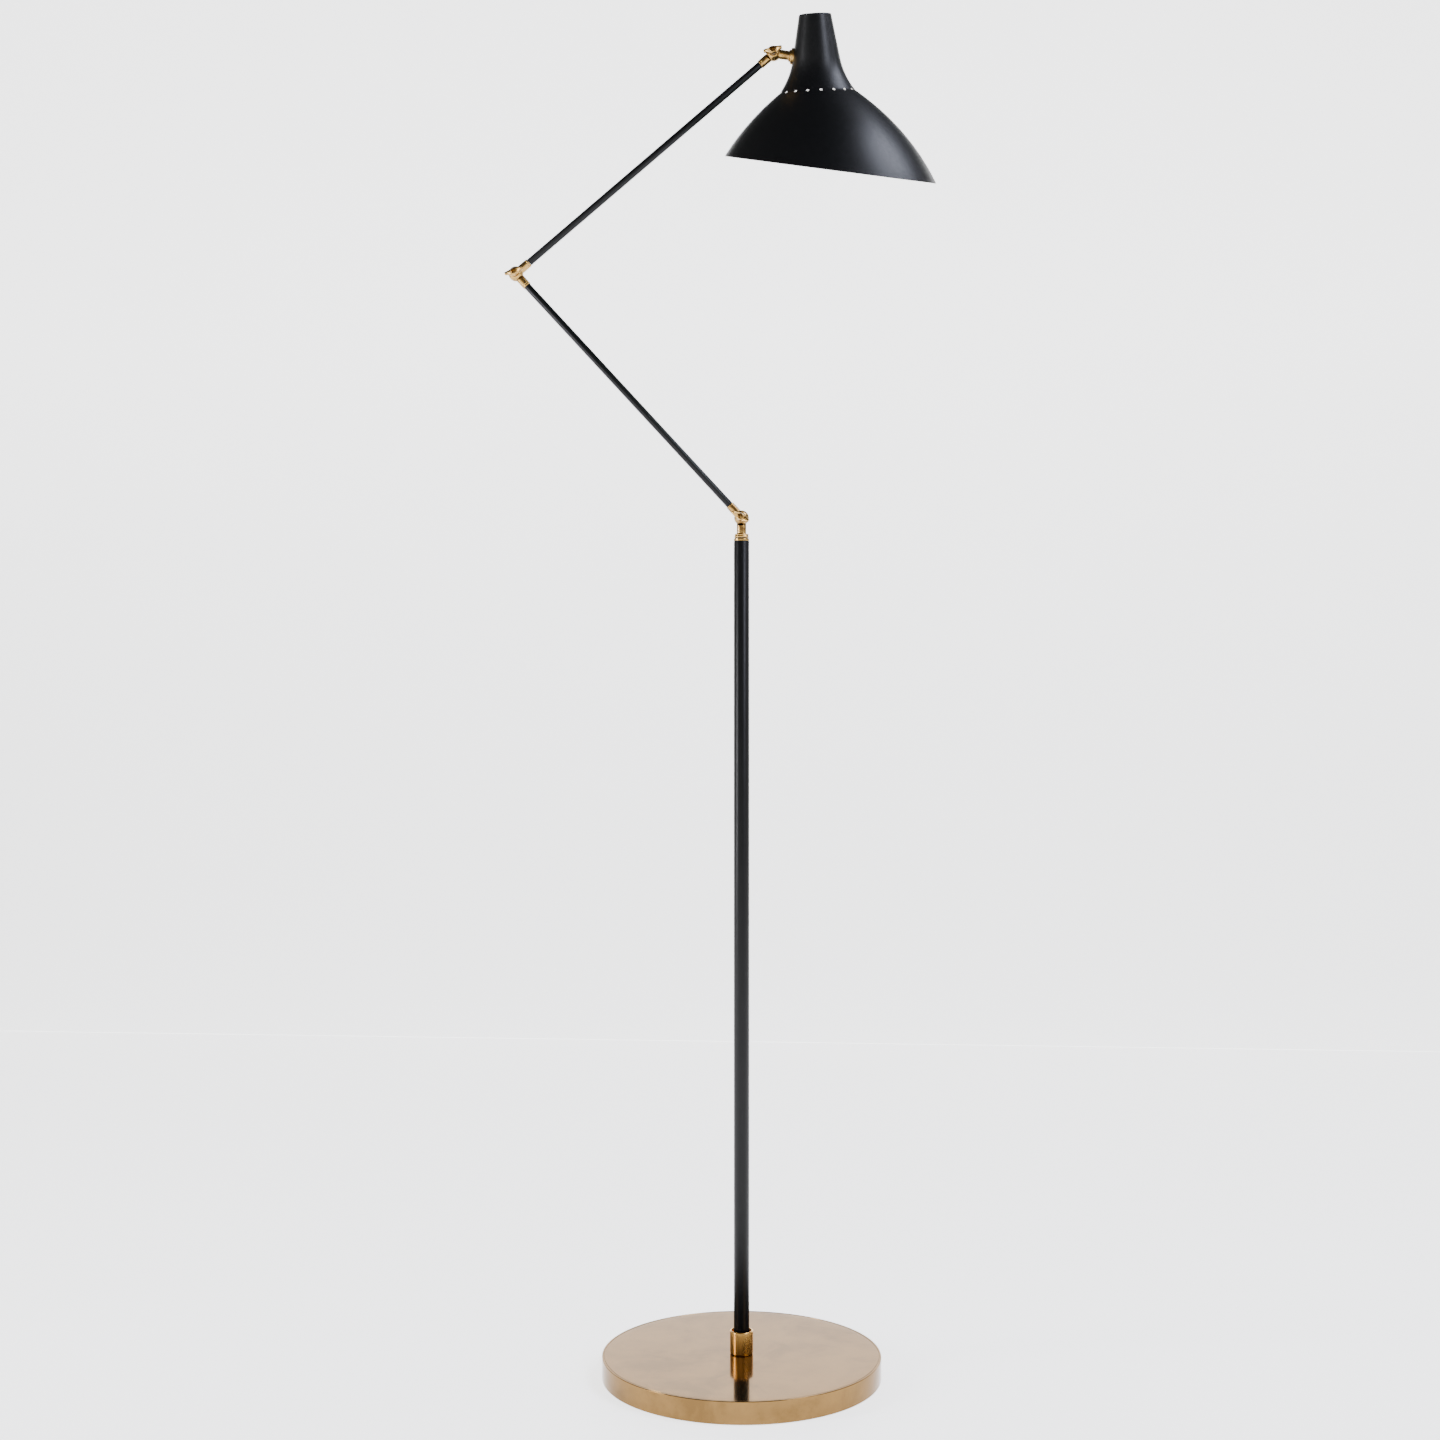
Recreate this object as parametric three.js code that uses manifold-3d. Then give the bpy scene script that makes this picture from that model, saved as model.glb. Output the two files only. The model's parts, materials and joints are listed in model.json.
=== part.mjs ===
// Adjustable arm floor lamp: weighted round base, pole, two equal arms with ball knuckles, bell shade.
// Millimetres, +Z up. Origin: centre of the base on the floor. The arms fold in the XZ plane, front is -Y.
import * as THREE from 'three';
import { mergeVertices } from 'three/addons/utils/BufferGeometryUtils.js';
import Module from 'manifold-3d';

const wasm = await Module();
wasm.setup();

// ---------------------------------------------------------------- driving dimensions
const GAP = 0.3;                    // clearance left between touching pieces

const BASE_RADIUS = 152.4;          // a 12 inch base
const BASE_HEIGHT = 24.2;
const SKIN = 1.2;                   // spun brass sheet of the base cover
const EDGE_RADIUS = 1.6;            // rolled top edge of the base cover
const COVER_FOOT = 0.5;             // the cover's lower edge above the floor
const PAD_THICKNESS = 2.0;
const PLATE_THICKNESS = 1.5;
const WEIGHT_THICKNESS = 10.6;
const INLET_HEIGHT = 9.4;           // centre of the cord inlet above the floor
const INLET_BORE = 3.4;

const COLLAR_RADIUS = 12.7;
const COLLAR_HEIGHT = 25.2;
const LIP_RADIUS = 11.2;            // open ring between the collar's lip and the pole
const LIP_DEPTH = 5;
const POLE_RADIUS = 8.5;
const POLE_WALL = 1.0;
const NIPPLE_RADIUS = 4.9;          // M10 x 1 lamp pipe
const NIPPLE_BORE = 3.4;
const PIPE_RADIUS = 3.9;            // the smaller pipe in the pole swivel and the shade swivel
const PIPE_BORE = 2.2;

const LOWER_HINGE_Z = 938.0;        // centre of the lowest ball above the floor
const POLE_TOP_Z = LOWER_HINGE_Z - 25.6;
const ARM_LENGTH = 369.5;           // hinge centre to hinge centre, both arms
const ARM_RADIUS = 3.9;
const ARM_WALL = 0.8;
const LOWER_ARM_ANGLE = 132.6;      // degrees from +X towards +Z, at rest
const UPPER_ARM_ANGLE = 39.5;
const STEM_ANGLE = -9.8;
const SHADE_ROLL = 15.4;            // turn of the shade about its stem, at rest

const BALL_RADIUS = 8.2;
const BALL_FACE = 6.6;              // flat turned on each end of the ball
const FERRULE_RADIUS = 4.75;
const FERRULE_END = 19;             // from the hinge centre
const SPIGOT_LENGTH = 12;           // part of the ferrule inside the arm tube
const NECK_START = 2;               // necks begin inside the ball, this far from its centre
const STEM_RADIUS = 5.2;
const WASHER_HALF = 0.4;            // half the thickness of a friction washer
const BOLT_RADIUS = 2;
const NUT_REACH = 10.2;             // half the span of a wing nut
const NUT_TIP = 1.75;               // half the thickness of its wings' tips
const NUT_HUB = 3.6;
const NUT_HEIGHT = 7.6;             // hub, from the ball's flat face
const LOWER_NUT_ANGLE = -28;        // slope of each wing nut at rest, degrees from +X towards +Z
const ELBOW_NUT_ANGLE = 18;
const HEAD_NUT_ANGLE = 12;
const LEAD_RADIUS = 1.5;

const FLANGE_RADIUS = 8.8;
const RING_RADIUS = 6.4;
const RING_START = 17.0;            // first ring of the shade swivel, from the head hinge centre
const RING_THICKNESS = 2.2;
const WALL_REACH = 21.9;            // where the stem's axis meets the shade's wall
const WALL_ANGLE = 10.8;            // half angle of the shade's neck
const WALL_DEPTH = 42.3;            // along the shade's axis, from its top to the stem

const SHADE_WALL = 1.0;
const NECK_TOP = 16.2;              // flat top of the neck, before its rounded corner
const NECK_CORNER = 1.5;
const NECK_FOOT = new THREE.Vector2(26.3, 48);       // radius, depth below the top
const FLARE_PULL = new THREE.Vector2(29.9, 65.4);    // bends the flare below the neck
const CREASE = new THREE.Vector2(41.4, 80.5);
const BELL_PULL = new THREE.Vector2(106, 128);       // bends the bell
const BELL_END = new THREE.Vector2(133, 195);        // section's end, beyond the slanted rim
const RIM_DEPTH = 161.2;            // depth of the slanted rim on the axis
const RIM_SLANT = 9.8;
const HOLE_COUNT = 18;
const HOLE_RADIUS = 1.5;
const HOLE_RING = new THREE.Vector2(41.0, 80.0);     // centred on the crease
const HOLE_TILT = 45;               // a hole's axis above the level, square to the wall

const HOLDER_RADIUS = 16.2;         // medium screw lampholder
const HOLDER_TOP = 13;
const HOLDER_LENGTH = 46;
const SCREW_SHELL_RADIUS = 13.7;
const CAP_RADIUS = 12.9;
const BULB_RADIUS = 30;
const BULB_END = 144;               // depth of the bulb's tip below the shade's top

// ---------------------------------------------------------------- finishes
const finish = (color, roughness, metalness) => () =>
  new THREE.MeshStandardMaterial({ color, roughness, metalness });
const satinBlack = finish(0x101113, 0.42, 0.3);
const antiqueBrass = finish(0xb08a52, 0.32, 1.0);
const steel = finish(0x9a9ca0, 0.35, 1.0);
const castIron = finish(0x3a3a3c, 0.7, 0.8);
const felt = finish(0x262626, 0.95, 0.0);
const fibre = finish(0x1c1a18, 0.6, 0.0);
const phenolic = finish(0x1b1512, 0.4, 0.0);
const insulation = finish(0xd8d4cc, 0.5, 0.0);
const nickel = finish(0xc9c6bf, 0.3, 1.0);
const frosted = finish(0xf4f1e8, 0.35, 0.0);
const white = finish(0xf2f2ee, 0.45, 0.0);

// ---------------------------------------------------------------- geometry helpers
const rad = THREE.MathUtils.degToRad;
const v2 = (x, y) => new THREE.Vector2(x, y);

// A closed mesh as a manifold solid, and back again.
function solid(geometry) {
  const bare = geometry.clone();
  bare.deleteAttribute('normal');
  bare.deleteAttribute('uv');
  const merged = mergeVertices(bare, 1e-4);
  return new wasm.Manifold(new wasm.Mesh({
    numProp: 3,
    vertProperties: new Float32Array(merged.attributes.position.array),
    triVerts: new Uint32Array(merged.index.array),
  }));
}

function geometryOf(manifold) {
  const mesh = manifold.getMesh();
  const geometry = new THREE.BufferGeometry();
  geometry.setAttribute('position', new THREE.BufferAttribute(mesh.vertProperties, 3));
  geometry.setIndex(new THREE.BufferAttribute(mesh.triVerts, 1));
  geometry.computeVertexNormals();
  return geometry;
}

const cut = (first, ...others) =>
  geometryOf(others.reduce((sum, other) => sum.subtract(solid(other)), solid(first)));
const join = (first, ...others) =>
  geometryOf(others.reduce((sum, other) => sum.add(solid(other)), solid(first)));
const overlap = (first, second) => geometryOf(solid(first).intersect(solid(second)));

// A body turned about +Z from [radius, height] points, listed once round the section.
function turned(points, segments = 24) {
  const section = points.map((p) => (p.isVector2 ? p : v2(p[0], p[1])));
  const closesOnAxis = section[0].x === 0 && section.at(-1).x === 0;
  if (!closesOnAxis) section.push(section[0].clone());
  const geometry = new THREE.LatheGeometry(section, segments).rotateX(Math.PI / 2);
  return signedVolume(geometry) > 0 ? geometry : flipped(geometry);
}

function signedVolume(geometry) {
  const position = geometry.attributes.position;
  const [a, b, c] = [0, 0, 0].map(() => new THREE.Vector3());
  let sum = 0;
  for (let i = 0; i < geometry.index.count; i += 3) {
    a.fromBufferAttribute(position, geometry.index.getX(i));
    b.fromBufferAttribute(position, geometry.index.getX(i + 1));
    c.fromBufferAttribute(position, geometry.index.getX(i + 2));
    sum += a.dot(b.cross(c)) / 6;
  }
  return sum;
}

function flipped(geometry) {
  const index = geometry.index.array;
  for (let i = 0; i < index.length; i += 3) {
    [index[i], index[i + 1]] = [index[i + 1], index[i]];
  }
  return geometry;
}

const disc = (radius, low, high, segments = 24) =>
  turned([[0, low], [radius, low], [radius, high], [0, high]], segments);
const tube = (outer, inner, low, high, segments = 16) =>
  turned([[inner, low], [outer, low], [outer, high], [inner, high]], segments);
const hexNut = (acrossCorners, inner, low, high) => {
  const bore = disc(inner, low - 1, high + 1, 12);
  return cut(disc(acrossCorners, low, high, 6), bore);
};

// Turned bodies lie along +Z; these lay them along the arm (+X) or through the hinge (+Y).
const alongX = (geometry) => geometry.rotateY(Math.PI / 2);
const alongY = (geometry) => geometry.rotateX(-Math.PI / 2);

// Corner arc of a section, from one angle to another, in degrees.
function arc(cx, cy, radius, from, to, steps = 3) {
  return Array.from({ length: steps + 1 }, (_, i) => {
    const angle = rad(from + ((to - from) * i) / steps);
    return [cx + radius * Math.cos(angle), cy + radius * Math.sin(angle)];
  });
}

function piece(name, geometry, material, parent) {
  const mesh = new THREE.Mesh(geometry, material());
  mesh.name = name;
  parent.add(mesh);
  return mesh;
}

// ---------------------------------------------------------------- base and pole
function buildBase(lamp) {
  const inner = BASE_RADIUS - SKIN;
  const roof = BASE_HEIGHT - SKIN;
  const bore = NIPPLE_RADIUS + GAP;
  const inlet = (radius, from, to) =>
    alongY(disc(radius, from, to, 16)).translate(0, 0, INLET_HEIGHT);
  const barrel = INLET_BORE + 1.1;

  const cover = turned([
    [inner, COVER_FOOT],
    [BASE_RADIUS, COVER_FOOT],
    ...arc(BASE_RADIUS - EDGE_RADIUS, BASE_HEIGHT - EDGE_RADIUS, EDGE_RADIUS, 0, 90, 2),
    [bore, BASE_HEIGHT],
    [bore, roof],
    [inner, roof],
  ], 48);
  piece('base_cover', cut(cover, inlet(barrel + GAP, inner - 8, BASE_RADIUS + 8)), antiqueBrass, lamp);

  const weightLow = roof - GAP - WEIGHT_THICKNESS;
  piece('base_weight', tube(inner - 3, bore, weightLow, roof - GAP, 40), castIron, lamp);
  const plateLow = PAD_THICKNESS + GAP;
  piece('base_plate', disc(inner - GAP * 2, plateLow, plateLow + PLATE_THICKNESS, 40), steel, lamp);
  piece('base_pad', disc(inner - GAP * 2, 0, PAD_THICKNESS, 40), felt, lamp);

  const washerLow = weightLow - GAP - 1.5;
  const nutLow = washerLow - GAP - 4;
  piece('base_washer', tube(14, bore, washerLow, weightLow - GAP), steel, lamp);
  piece('base_lock_nut', hexNut(9.2, bore, nutLow, washerLow - GAP), steel, lamp);

  const bushing = turned([
    [INLET_BORE, inner - 2.5],
    [barrel, inner - 2.5],
    [barrel, BASE_RADIUS + GAP],
    [barrel + 1.6, BASE_RADIUS + GAP],
    [barrel + 0.8, BASE_RADIUS + 2],
    [INLET_BORE, BASE_RADIUS + 2],
  ], 12);
  piece('cord_inlet_bushing', alongY(bushing).translate(0, 0, INLET_HEIGHT), fibre, lamp);
  return nutLow;
}

function buildPole(lamp, nippleLow) {
  const collarLow = BASE_HEIGHT + GAP;
  const collarTop = collarLow + COLLAR_HEIGHT;
  const poleLow = collarLow + GAP;
  const collarBore = POLE_RADIUS + GAP;
  const chamfer = 0.7;
  const screwHeight = (collarLow + collarTop) / 2;
  const screw = (radius, from, to) =>
    alongY(disc(radius, from, to, 10)).translate(0, 0, screwHeight);
  const collar = turned([
    [collarBore, collarLow],
    [COLLAR_RADIUS, collarLow],
    [COLLAR_RADIUS, collarTop - chamfer],
    [COLLAR_RADIUS - chamfer, collarTop],
    [LIP_RADIUS, collarTop],
    [LIP_RADIUS, collarTop - LIP_DEPTH],
    [collarBore, collarTop - LIP_DEPTH],
  ], 32);
  const screwHole = screw(2 + GAP, POLE_RADIUS - 1, COLLAR_RADIUS + 1);
  piece('pole_collar', cut(collar, screwHole), antiqueBrass, lamp);
  piece('collar_set_screw', screw(2, POLE_RADIUS + GAP, COLLAR_RADIUS - 0.4), steel, lamp);

  const inside = POLE_RADIUS - POLE_WALL;
  const insertRadius = inside - GAP;
  const insertLength = 24;
  const insertBore = NIPPLE_RADIUS + GAP;
  piece('pole', tube(POLE_RADIUS, inside, poleLow, POLE_TOP_Z, 32), satinBlack, lamp);
  const bottomLow = poleLow + 1;
  piece('pole_bottom_insert',
    tube(insertRadius, insertBore, bottomLow, bottomLow + insertLength), steel, lamp);
  piece('base_nipple',
    tube(NIPPLE_RADIUS, NIPPLE_BORE, nippleLow, bottomLow + insertLength - 2, 12), steel, lamp);

  const topInsertTop = POLE_TOP_Z - 0.5;
  const topInsertLow = topInsertTop - insertLength;
  piece('pole_top_insert',
    tube(insertRadius, insertBore, topInsertLow, topInsertTop), steel, lamp);
  const capLow = POLE_TOP_Z + GAP;
  const capTop = capLow + 2.4;
  piece('pole_cap', turned([
    [insertBore, capLow],
    [POLE_RADIUS, capLow],
    [POLE_RADIUS, capTop - 0.4],
    [POLE_RADIUS - 0.4, capTop],
    [insertBore, capTop],
  ]), antiqueBrass, lamp);
  const glideTop = capTop + GAP + 0.4;
  piece('swivel_glide_washer',
    tube(POLE_RADIUS - 1, insertBore, capTop + GAP, glideTop), fibre, lamp);
  const washerHigh = topInsertLow - GAP;
  piece('pole_lead', disc(2.2, bottomLow + insertLength + 4, washerHigh - 16, 8), insulation, lamp);
  return { washerHigh, beadLow: glideTop + GAP };
}

// ---------------------------------------------------------------- ball knuckles
// One half of a ball knuckle, in its own frame: hinge along Y through the origin, its neck along +X.
// side is -1 for the half in front (-Y) and +1 for the half behind.
function halfBall(side) {
  const ball = turned(arc(0, 0, BALL_RADIUS, -90, 90, 10).map(([x, y]) => [Math.max(x, 0), y]), 20);
  const depth = BALL_FACE - WASHER_HALF;
  const slab = new THREE.BoxGeometry(40, depth, 40);
  slab.translate(0, side * (WASHER_HALF + depth / 2), 0);
  return overlap(ball, slab);
}

// Room for the other half of the ball to turn inside this half's neck.
function otherHalfRoom(side) {
  const depth = 20;
  const room = alongY(disc(BALL_RADIUS + 0.4, -depth / 2, depth / 2, 32));
  return room.translate(0, -side * (depth / 2 - WASHER_HALF), 0);
}

// The whole half with its neck (any solid along +X) and the bolt's hole.
function knuckleHalf(side, neck, bore) {
  const trimmedNeck = cut(neck, otherHalfRoom(side));
  const boltHole = alongY(disc(BOLT_RADIUS + GAP, -20, 20, 12));
  const wireWay = alongX(disc(bore, BOLT_RADIUS + 3, 60, 8));
  return cut(join(halfBall(side), trimmedNeck), boltHole, wireWay);
}

// Neck that plugs into an arm tube: a bright ferrule, then a thinner spigot inside the tube.
function ferruleNeck() {
  const spigot = ARM_RADIUS - ARM_WALL - GAP;
  return alongX(turned([
    [0, NECK_START],
    [FERRULE_RADIUS, NECK_START],
    [FERRULE_RADIUS, FERRULE_END - 0.5],
    [FERRULE_RADIUS - 0.5, FERRULE_END],
    [spigot, FERRULE_END],
    [spigot, FERRULE_END + SPIGOT_LENGTH],
    [0, FERRULE_END + SPIGOT_LENGTH],
  ], 20));
}

const wireBore = LEAD_RADIUS + GAP;

// Bolt from behind, with a friction washer between the two halves of the ball.
function hinge(name, group) {
  const head = BALL_FACE + GAP;
  const boltEnd = -(BALL_FACE + NUT_HEIGHT - 0.8);
  const bolt = turned([
    [0, boltEnd],
    [BOLT_RADIUS, boltEnd],
    [BOLT_RADIUS, head],
    [4.2, head],
    [4.2, head + 1.4],
    [3, head + 2.2],
    [0, head + 2.2],
  ], 12);
  piece(`${name}_hinge_bolt`, alongY(bolt), antiqueBrass, group);
  const washerHalf = WASHER_HALF - GAP / 3;
  const washer = tube(6.2, BOLT_RADIUS + GAP, -washerHalf, washerHalf);
  piece(`${name}_hinge_washer`, alongY(washer), fibre, group);
}

// Wing nut on the bolt's front end: where its outline from the front and its outline from above meet.
function wingNut() {
  const thickness = 30;
  const extrude = (shape) =>
    new THREE.ExtrudeGeometry(shape, { depth: thickness, bevelEnabled: false, curveSegments: 4 });

  const front = new THREE.Shape();
  front.moveTo(-NUT_REACH, -NUT_TIP);
  front.bezierCurveTo(-6, -NUT_TIP, -4.5, -NUT_HUB, 0, -NUT_HUB);
  front.bezierCurveTo(4.5, -NUT_HUB, 6, -NUT_TIP, NUT_REACH, -NUT_TIP);
  front.lineTo(NUT_REACH, NUT_TIP);
  front.bezierCurveTo(6, NUT_TIP, 4.5, NUT_HUB, 0, NUT_HUB);
  front.bezierCurveTo(-4.5, NUT_HUB, -6, NUT_TIP, -NUT_REACH, NUT_TIP);
  const fromFront = extrude(front).rotateX(Math.PI / 2);

  const above = new THREE.Shape();
  const wing = NUT_HEIGHT + 2.4;
  above.moveTo(-4, 0);
  above.lineTo(4, 0);
  above.quadraticCurveTo(5.6, 3.6, NUT_REACH, 5);
  above.lineTo(NUT_REACH, wing);
  above.quadraticCurveTo(6, wing - 0.6, 3.6, NUT_HEIGHT);
  above.lineTo(-3.6, NUT_HEIGHT);
  above.quadraticCurveTo(-6, wing - 0.6, -NUT_REACH, wing);
  above.lineTo(-NUT_REACH, 5);
  above.quadraticCurveTo(-5.6, 3.6, -4, 0);
  const fromAbove = extrude(above).translate(0, 0, -thickness / 2).rotateX(Math.PI);

  const seat = -(BALL_FACE + GAP);
  const bore = alongY(disc(BOLT_RADIUS + GAP, -thickness, thickness, 12));
  return cut(overlap(fromFront, fromAbove).translate(0, seat, 0), bore);
}

function addWingNut(name, angle, group) {
  piece(`${name}_wing_nut`, wingNut(), antiqueBrass, group).rotation.y = rad(-angle);
}

// ---------------------------------------------------------------- swivel on the pole
function buildSwivel(lamp, { washerHigh, beadLow }) {
  const swivel = new THREE.Group();
  swivel.position.z = LOWER_HINGE_Z;
  lamp.add(swivel);

  const bead = LOWER_HINGE_Z - beadLow;                // hinge centre down to the bead's foot
  const socketDepth = 8;
  const neck = alongX(turned([
    [0, NECK_START],
    [STEM_RADIUS, NECK_START],
    [STEM_RADIUS, bead - 3.2],
    [POLE_RADIUS - 1.4, bead - 3.2],
    ...arc(POLE_RADIUS - 1.2, bead - 1.5, 1.2, -70, 70),
    [POLE_RADIUS - 1.4, bead],
    [0, bead],
  ]));
  const half = knuckleHalf(1, neck, wireBore).rotateY(Math.PI / 2);
  const socket = disc(PIPE_RADIUS + GAP, -bead - 1, socketDepth - bead, 12);
  piece('swivel_knuckle', cut(half, socket), antiqueBrass, swivel);
  const pipeTop = socketDepth - bead - GAP;
  const pipeLow = washerHigh - LOWER_HINGE_Z - 9;
  piece('swivel_pipe', tube(PIPE_RADIUS, PIPE_BORE, pipeLow, pipeTop, 12), steel, swivel);
  const washerTop = washerHigh - LOWER_HINGE_Z;
  const springThickness = 1.4;
  piece('swivel_spring_washer',
    tube(6.6, PIPE_RADIUS + GAP, washerTop - springThickness, washerTop), steel, swivel);
  piece('swivel_lock_nut',
    hexNut(6.8, PIPE_RADIUS + GAP, pipeLow + 3, washerTop - springThickness - GAP), steel, swivel);
  hinge('lower', swivel);
  addWingNut('lower', LOWER_NUT_ANGLE, swivel);
  return swivel;
}

// ---------------------------------------------------------------- the two arms
function buildArm(name, parent, startName, endName) {
  const arm = new THREE.Group();
  parent.add(arm);
  piece(`${name}_${startName}_knuckle`, knuckleHalf(-1, ferruleNeck(), wireBore), antiqueBrass, arm);

  const end = new THREE.Group();
  end.position.x = ARM_LENGTH;
  end.rotation.y = Math.PI;
  arm.add(end);
  piece(`${name}_${endName}_knuckle`, knuckleHalf(1, ferruleNeck(), wireBore), antiqueBrass, end);

  const start = FERRULE_END + GAP;
  const barrel = tube(ARM_RADIUS, ARM_RADIUS - ARM_WALL, start, ARM_LENGTH - start, 24);
  piece(`${name}_tube`, alongX(barrel), satinBlack, arm);
  const lead = disc(LEAD_RADIUS, FERRULE_END - 4, ARM_LENGTH - FERRULE_END + 4, 8);
  piece(`${name}_lead`, alongX(lead), insulation, arm);

  const tip = new THREE.Group();
  tip.position.x = ARM_LENGTH;
  arm.add(tip);
  hinge(endName, tip);
  return { arm, tip };
}

// ---------------------------------------------------------------- shade
// Half section of the shade: closed flat top, straight neck, flare, crease and bell.
function shadeLine(offset) {
  const neckTop = v2(NECK_TOP + NECK_CORNER, NECK_CORNER);
  const flare = new THREE.QuadraticBezierCurve(NECK_FOOT, FLARE_PULL, CREASE);
  const bell = new THREE.QuadraticBezierCurve(CREASE, BELL_PULL, BELL_END);
  const points = [
    ...arc(NECK_TOP, NECK_CORNER, NECK_CORNER, -90, 0, 2).map(([x, y]) => v2(x, y)),
    neckTop,
    ...flare.getPoints(3),
    ...bell.getPoints(7),
  ];
  const kept = points.filter((p, i) => i === 0 || p.distanceTo(points[i - 1]) > 0.5);
  return kept.map((p, i) => {
    const before = kept[Math.max(i - 1, 0)];
    const after = kept[Math.min(i + 1, kept.length - 1)];
    const along = after.clone().sub(before).normalize();
    return v2(p.x - along.y * offset, p.y + along.x * offset);
  });
}

// Sections are drawn downwards from the top; the shade's own frame has +Z up and its top at 0.
const hanging = (section, segments) => turned(section.map((p) => v2(p.x, -p.y)), segments);

function buildShadeShell() {
  const outside = shadeLine(0);
  const inside = shadeLine(SHADE_WALL);
  const shell = hanging([
    v2(0, 0),
    ...outside,
    ...inside.reverse(),
    v2(0, SHADE_WALL),
  ], 40);
  const below = new THREE.BoxGeometry(400, 400, 200);
  below.translate(0, 0, -100);
  below.rotateY(rad(RIM_SLANT));
  below.translate(0, 0, -RIM_DEPTH);
  const drills = Array.from({ length: HOLE_COUNT }, (_, i) => {
    const drill = alongX(disc(HOLE_RADIUS, -4, 4, 8));
    drill.rotateY(rad(-HOLE_TILT)).translate(HOLE_RING.x, 0, -HOLE_RING.y);
    return drill.rotateZ((2 * Math.PI * i) / HOLE_COUNT);
  });
  return cut(shell, below, ...drills, stemDrill(PIPE_RADIUS + 2 * GAP));
}

// Radius of the straight neck where the stem's axis meets its wall.
const neckRadius = NECK_FOOT.x - (NECK_FOOT.y - WALL_DEPTH) * Math.tan(rad(WALL_ANGLE));

// A drill along the stem's axis, in the shade's own frame.
function stemDrill(radius) {
  const drill = alongX(disc(radius, -12, 12, 16));
  return drill.rotateY(rad(WALL_ANGLE)).translate(-neckRadius, 0, -WALL_DEPTH);
}

// The outer shape of the shade as one full solid, to fit the flange against.
const shadeFull = (offset) =>
  hanging([v2(0, -offset), ...shadeLine(-offset), v2(0, BELL_END.y)], 40);

function lampholder(shade) {
  const down = (points, segments = 24) => hanging(points.map(([x, y]) => v2(x, y)), segments);
  const mouth = HOLDER_TOP + HOLDER_LENGTH;
  const floor = HOLDER_TOP + 12;
  piece('lampholder_body', down([
    [2.4, HOLDER_TOP],
    [HOLDER_RADIUS - 2, HOLDER_TOP],
    [HOLDER_RADIUS, HOLDER_TOP + 2],
    [HOLDER_RADIUS, mouth],
    [SCREW_SHELL_RADIUS + GAP, mouth],
    [SCREW_SHELL_RADIUS + GAP, floor],
    [2.4, floor],
  ]), phenolic, shade);
  piece('lampholder_screw_shell', down([
    [9, floor + GAP],
    [SCREW_SHELL_RADIUS, floor + GAP],
    [SCREW_SHELL_RADIUS, mouth - 2],
    [CAP_RADIUS + GAP, mouth - 2],
    [CAP_RADIUS + GAP, floor + 1],
    [9, floor + 1],
  ]), antiqueBrass, shade);
  piece('lampholder_contact', down([
    [2.4, floor + GAP],
    [6, floor + GAP],
    [6, floor + 1.2],
    [2.6, floor + 2.4],
    [2.4, floor + 2.4],
  ], 12), nickel, shade);

  const capTop = floor + 3.4;
  const capEnd = mouth - 1;
  piece('bulb_cap', down([
    [0, capTop],
    [4.5, capTop],
    [CAP_RADIUS - 3, capTop + 2.5],
    [CAP_RADIUS, capTop + 4],
    [CAP_RADIUS, capEnd],
    [0, capEnd],
  ]), nickel, shade);
  const centre = BULB_END - BULB_RADIUS;
  const domeStart = -35;
  const throat = BULB_RADIUS * Math.cos(rad(domeStart));
  const housingEnd = centre + BULB_RADIUS * Math.sin(rad(domeStart)) - GAP;
  piece('bulb_housing', down([
    [0, capEnd + GAP],
    [CAP_RADIUS, capEnd + GAP],
    [CAP_RADIUS + 1, mouth + 5],
    [throat, housingEnd],
    [0, housingEnd],
  ]), white, shade);
  const outerDome = arc(0, centre, BULB_RADIUS, domeStart, 90, 5);
  const innerDome = arc(0, centre, BULB_RADIUS - 1, domeStart, 90, 5).reverse();
  piece('bulb_globe', down([
    ...outerDome.slice(0, -1),
    [0, BULB_END],
    [0, BULB_END - 1],
    ...innerDome.slice(1),
  ]), frosted, shade);
}

// Steel strip: one leg on the stem's pipe along the neck's wall, the other over the lampholder.
function bracket() {
  const strip = new THREE.Shape();
  const wall = 1.2;
  const topDepth = HOLDER_TOP - GAP;
  const legTop = v2(-17.0, topDepth - wall);
  const legEnd = v2(-24.2, WALL_DEPTH + 7);
  strip.moveTo(4.5, -topDepth);
  strip.lineTo(4.5, -topDepth + wall);
  strip.lineTo(legTop.x, -legTop.y);
  strip.lineTo(legEnd.x, -legEnd.y);
  strip.lineTo(legEnd.x + wall, -legEnd.y);
  strip.lineTo(legTop.x + wall, -topDepth);
  strip.closePath();
  const width = 13;
  const sheet = new THREE.ExtrudeGeometry(strip, { depth: width, bevelEnabled: false });
  sheet.translate(0, 0, -width / 2).rotateX(Math.PI / 2);
  const screwHole = disc(2.3, -topDepth - 2, -topDepth + 4, 12);
  return cut(sheet, stemDrill(PIPE_RADIUS + GAP), screwHole);
}

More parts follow.
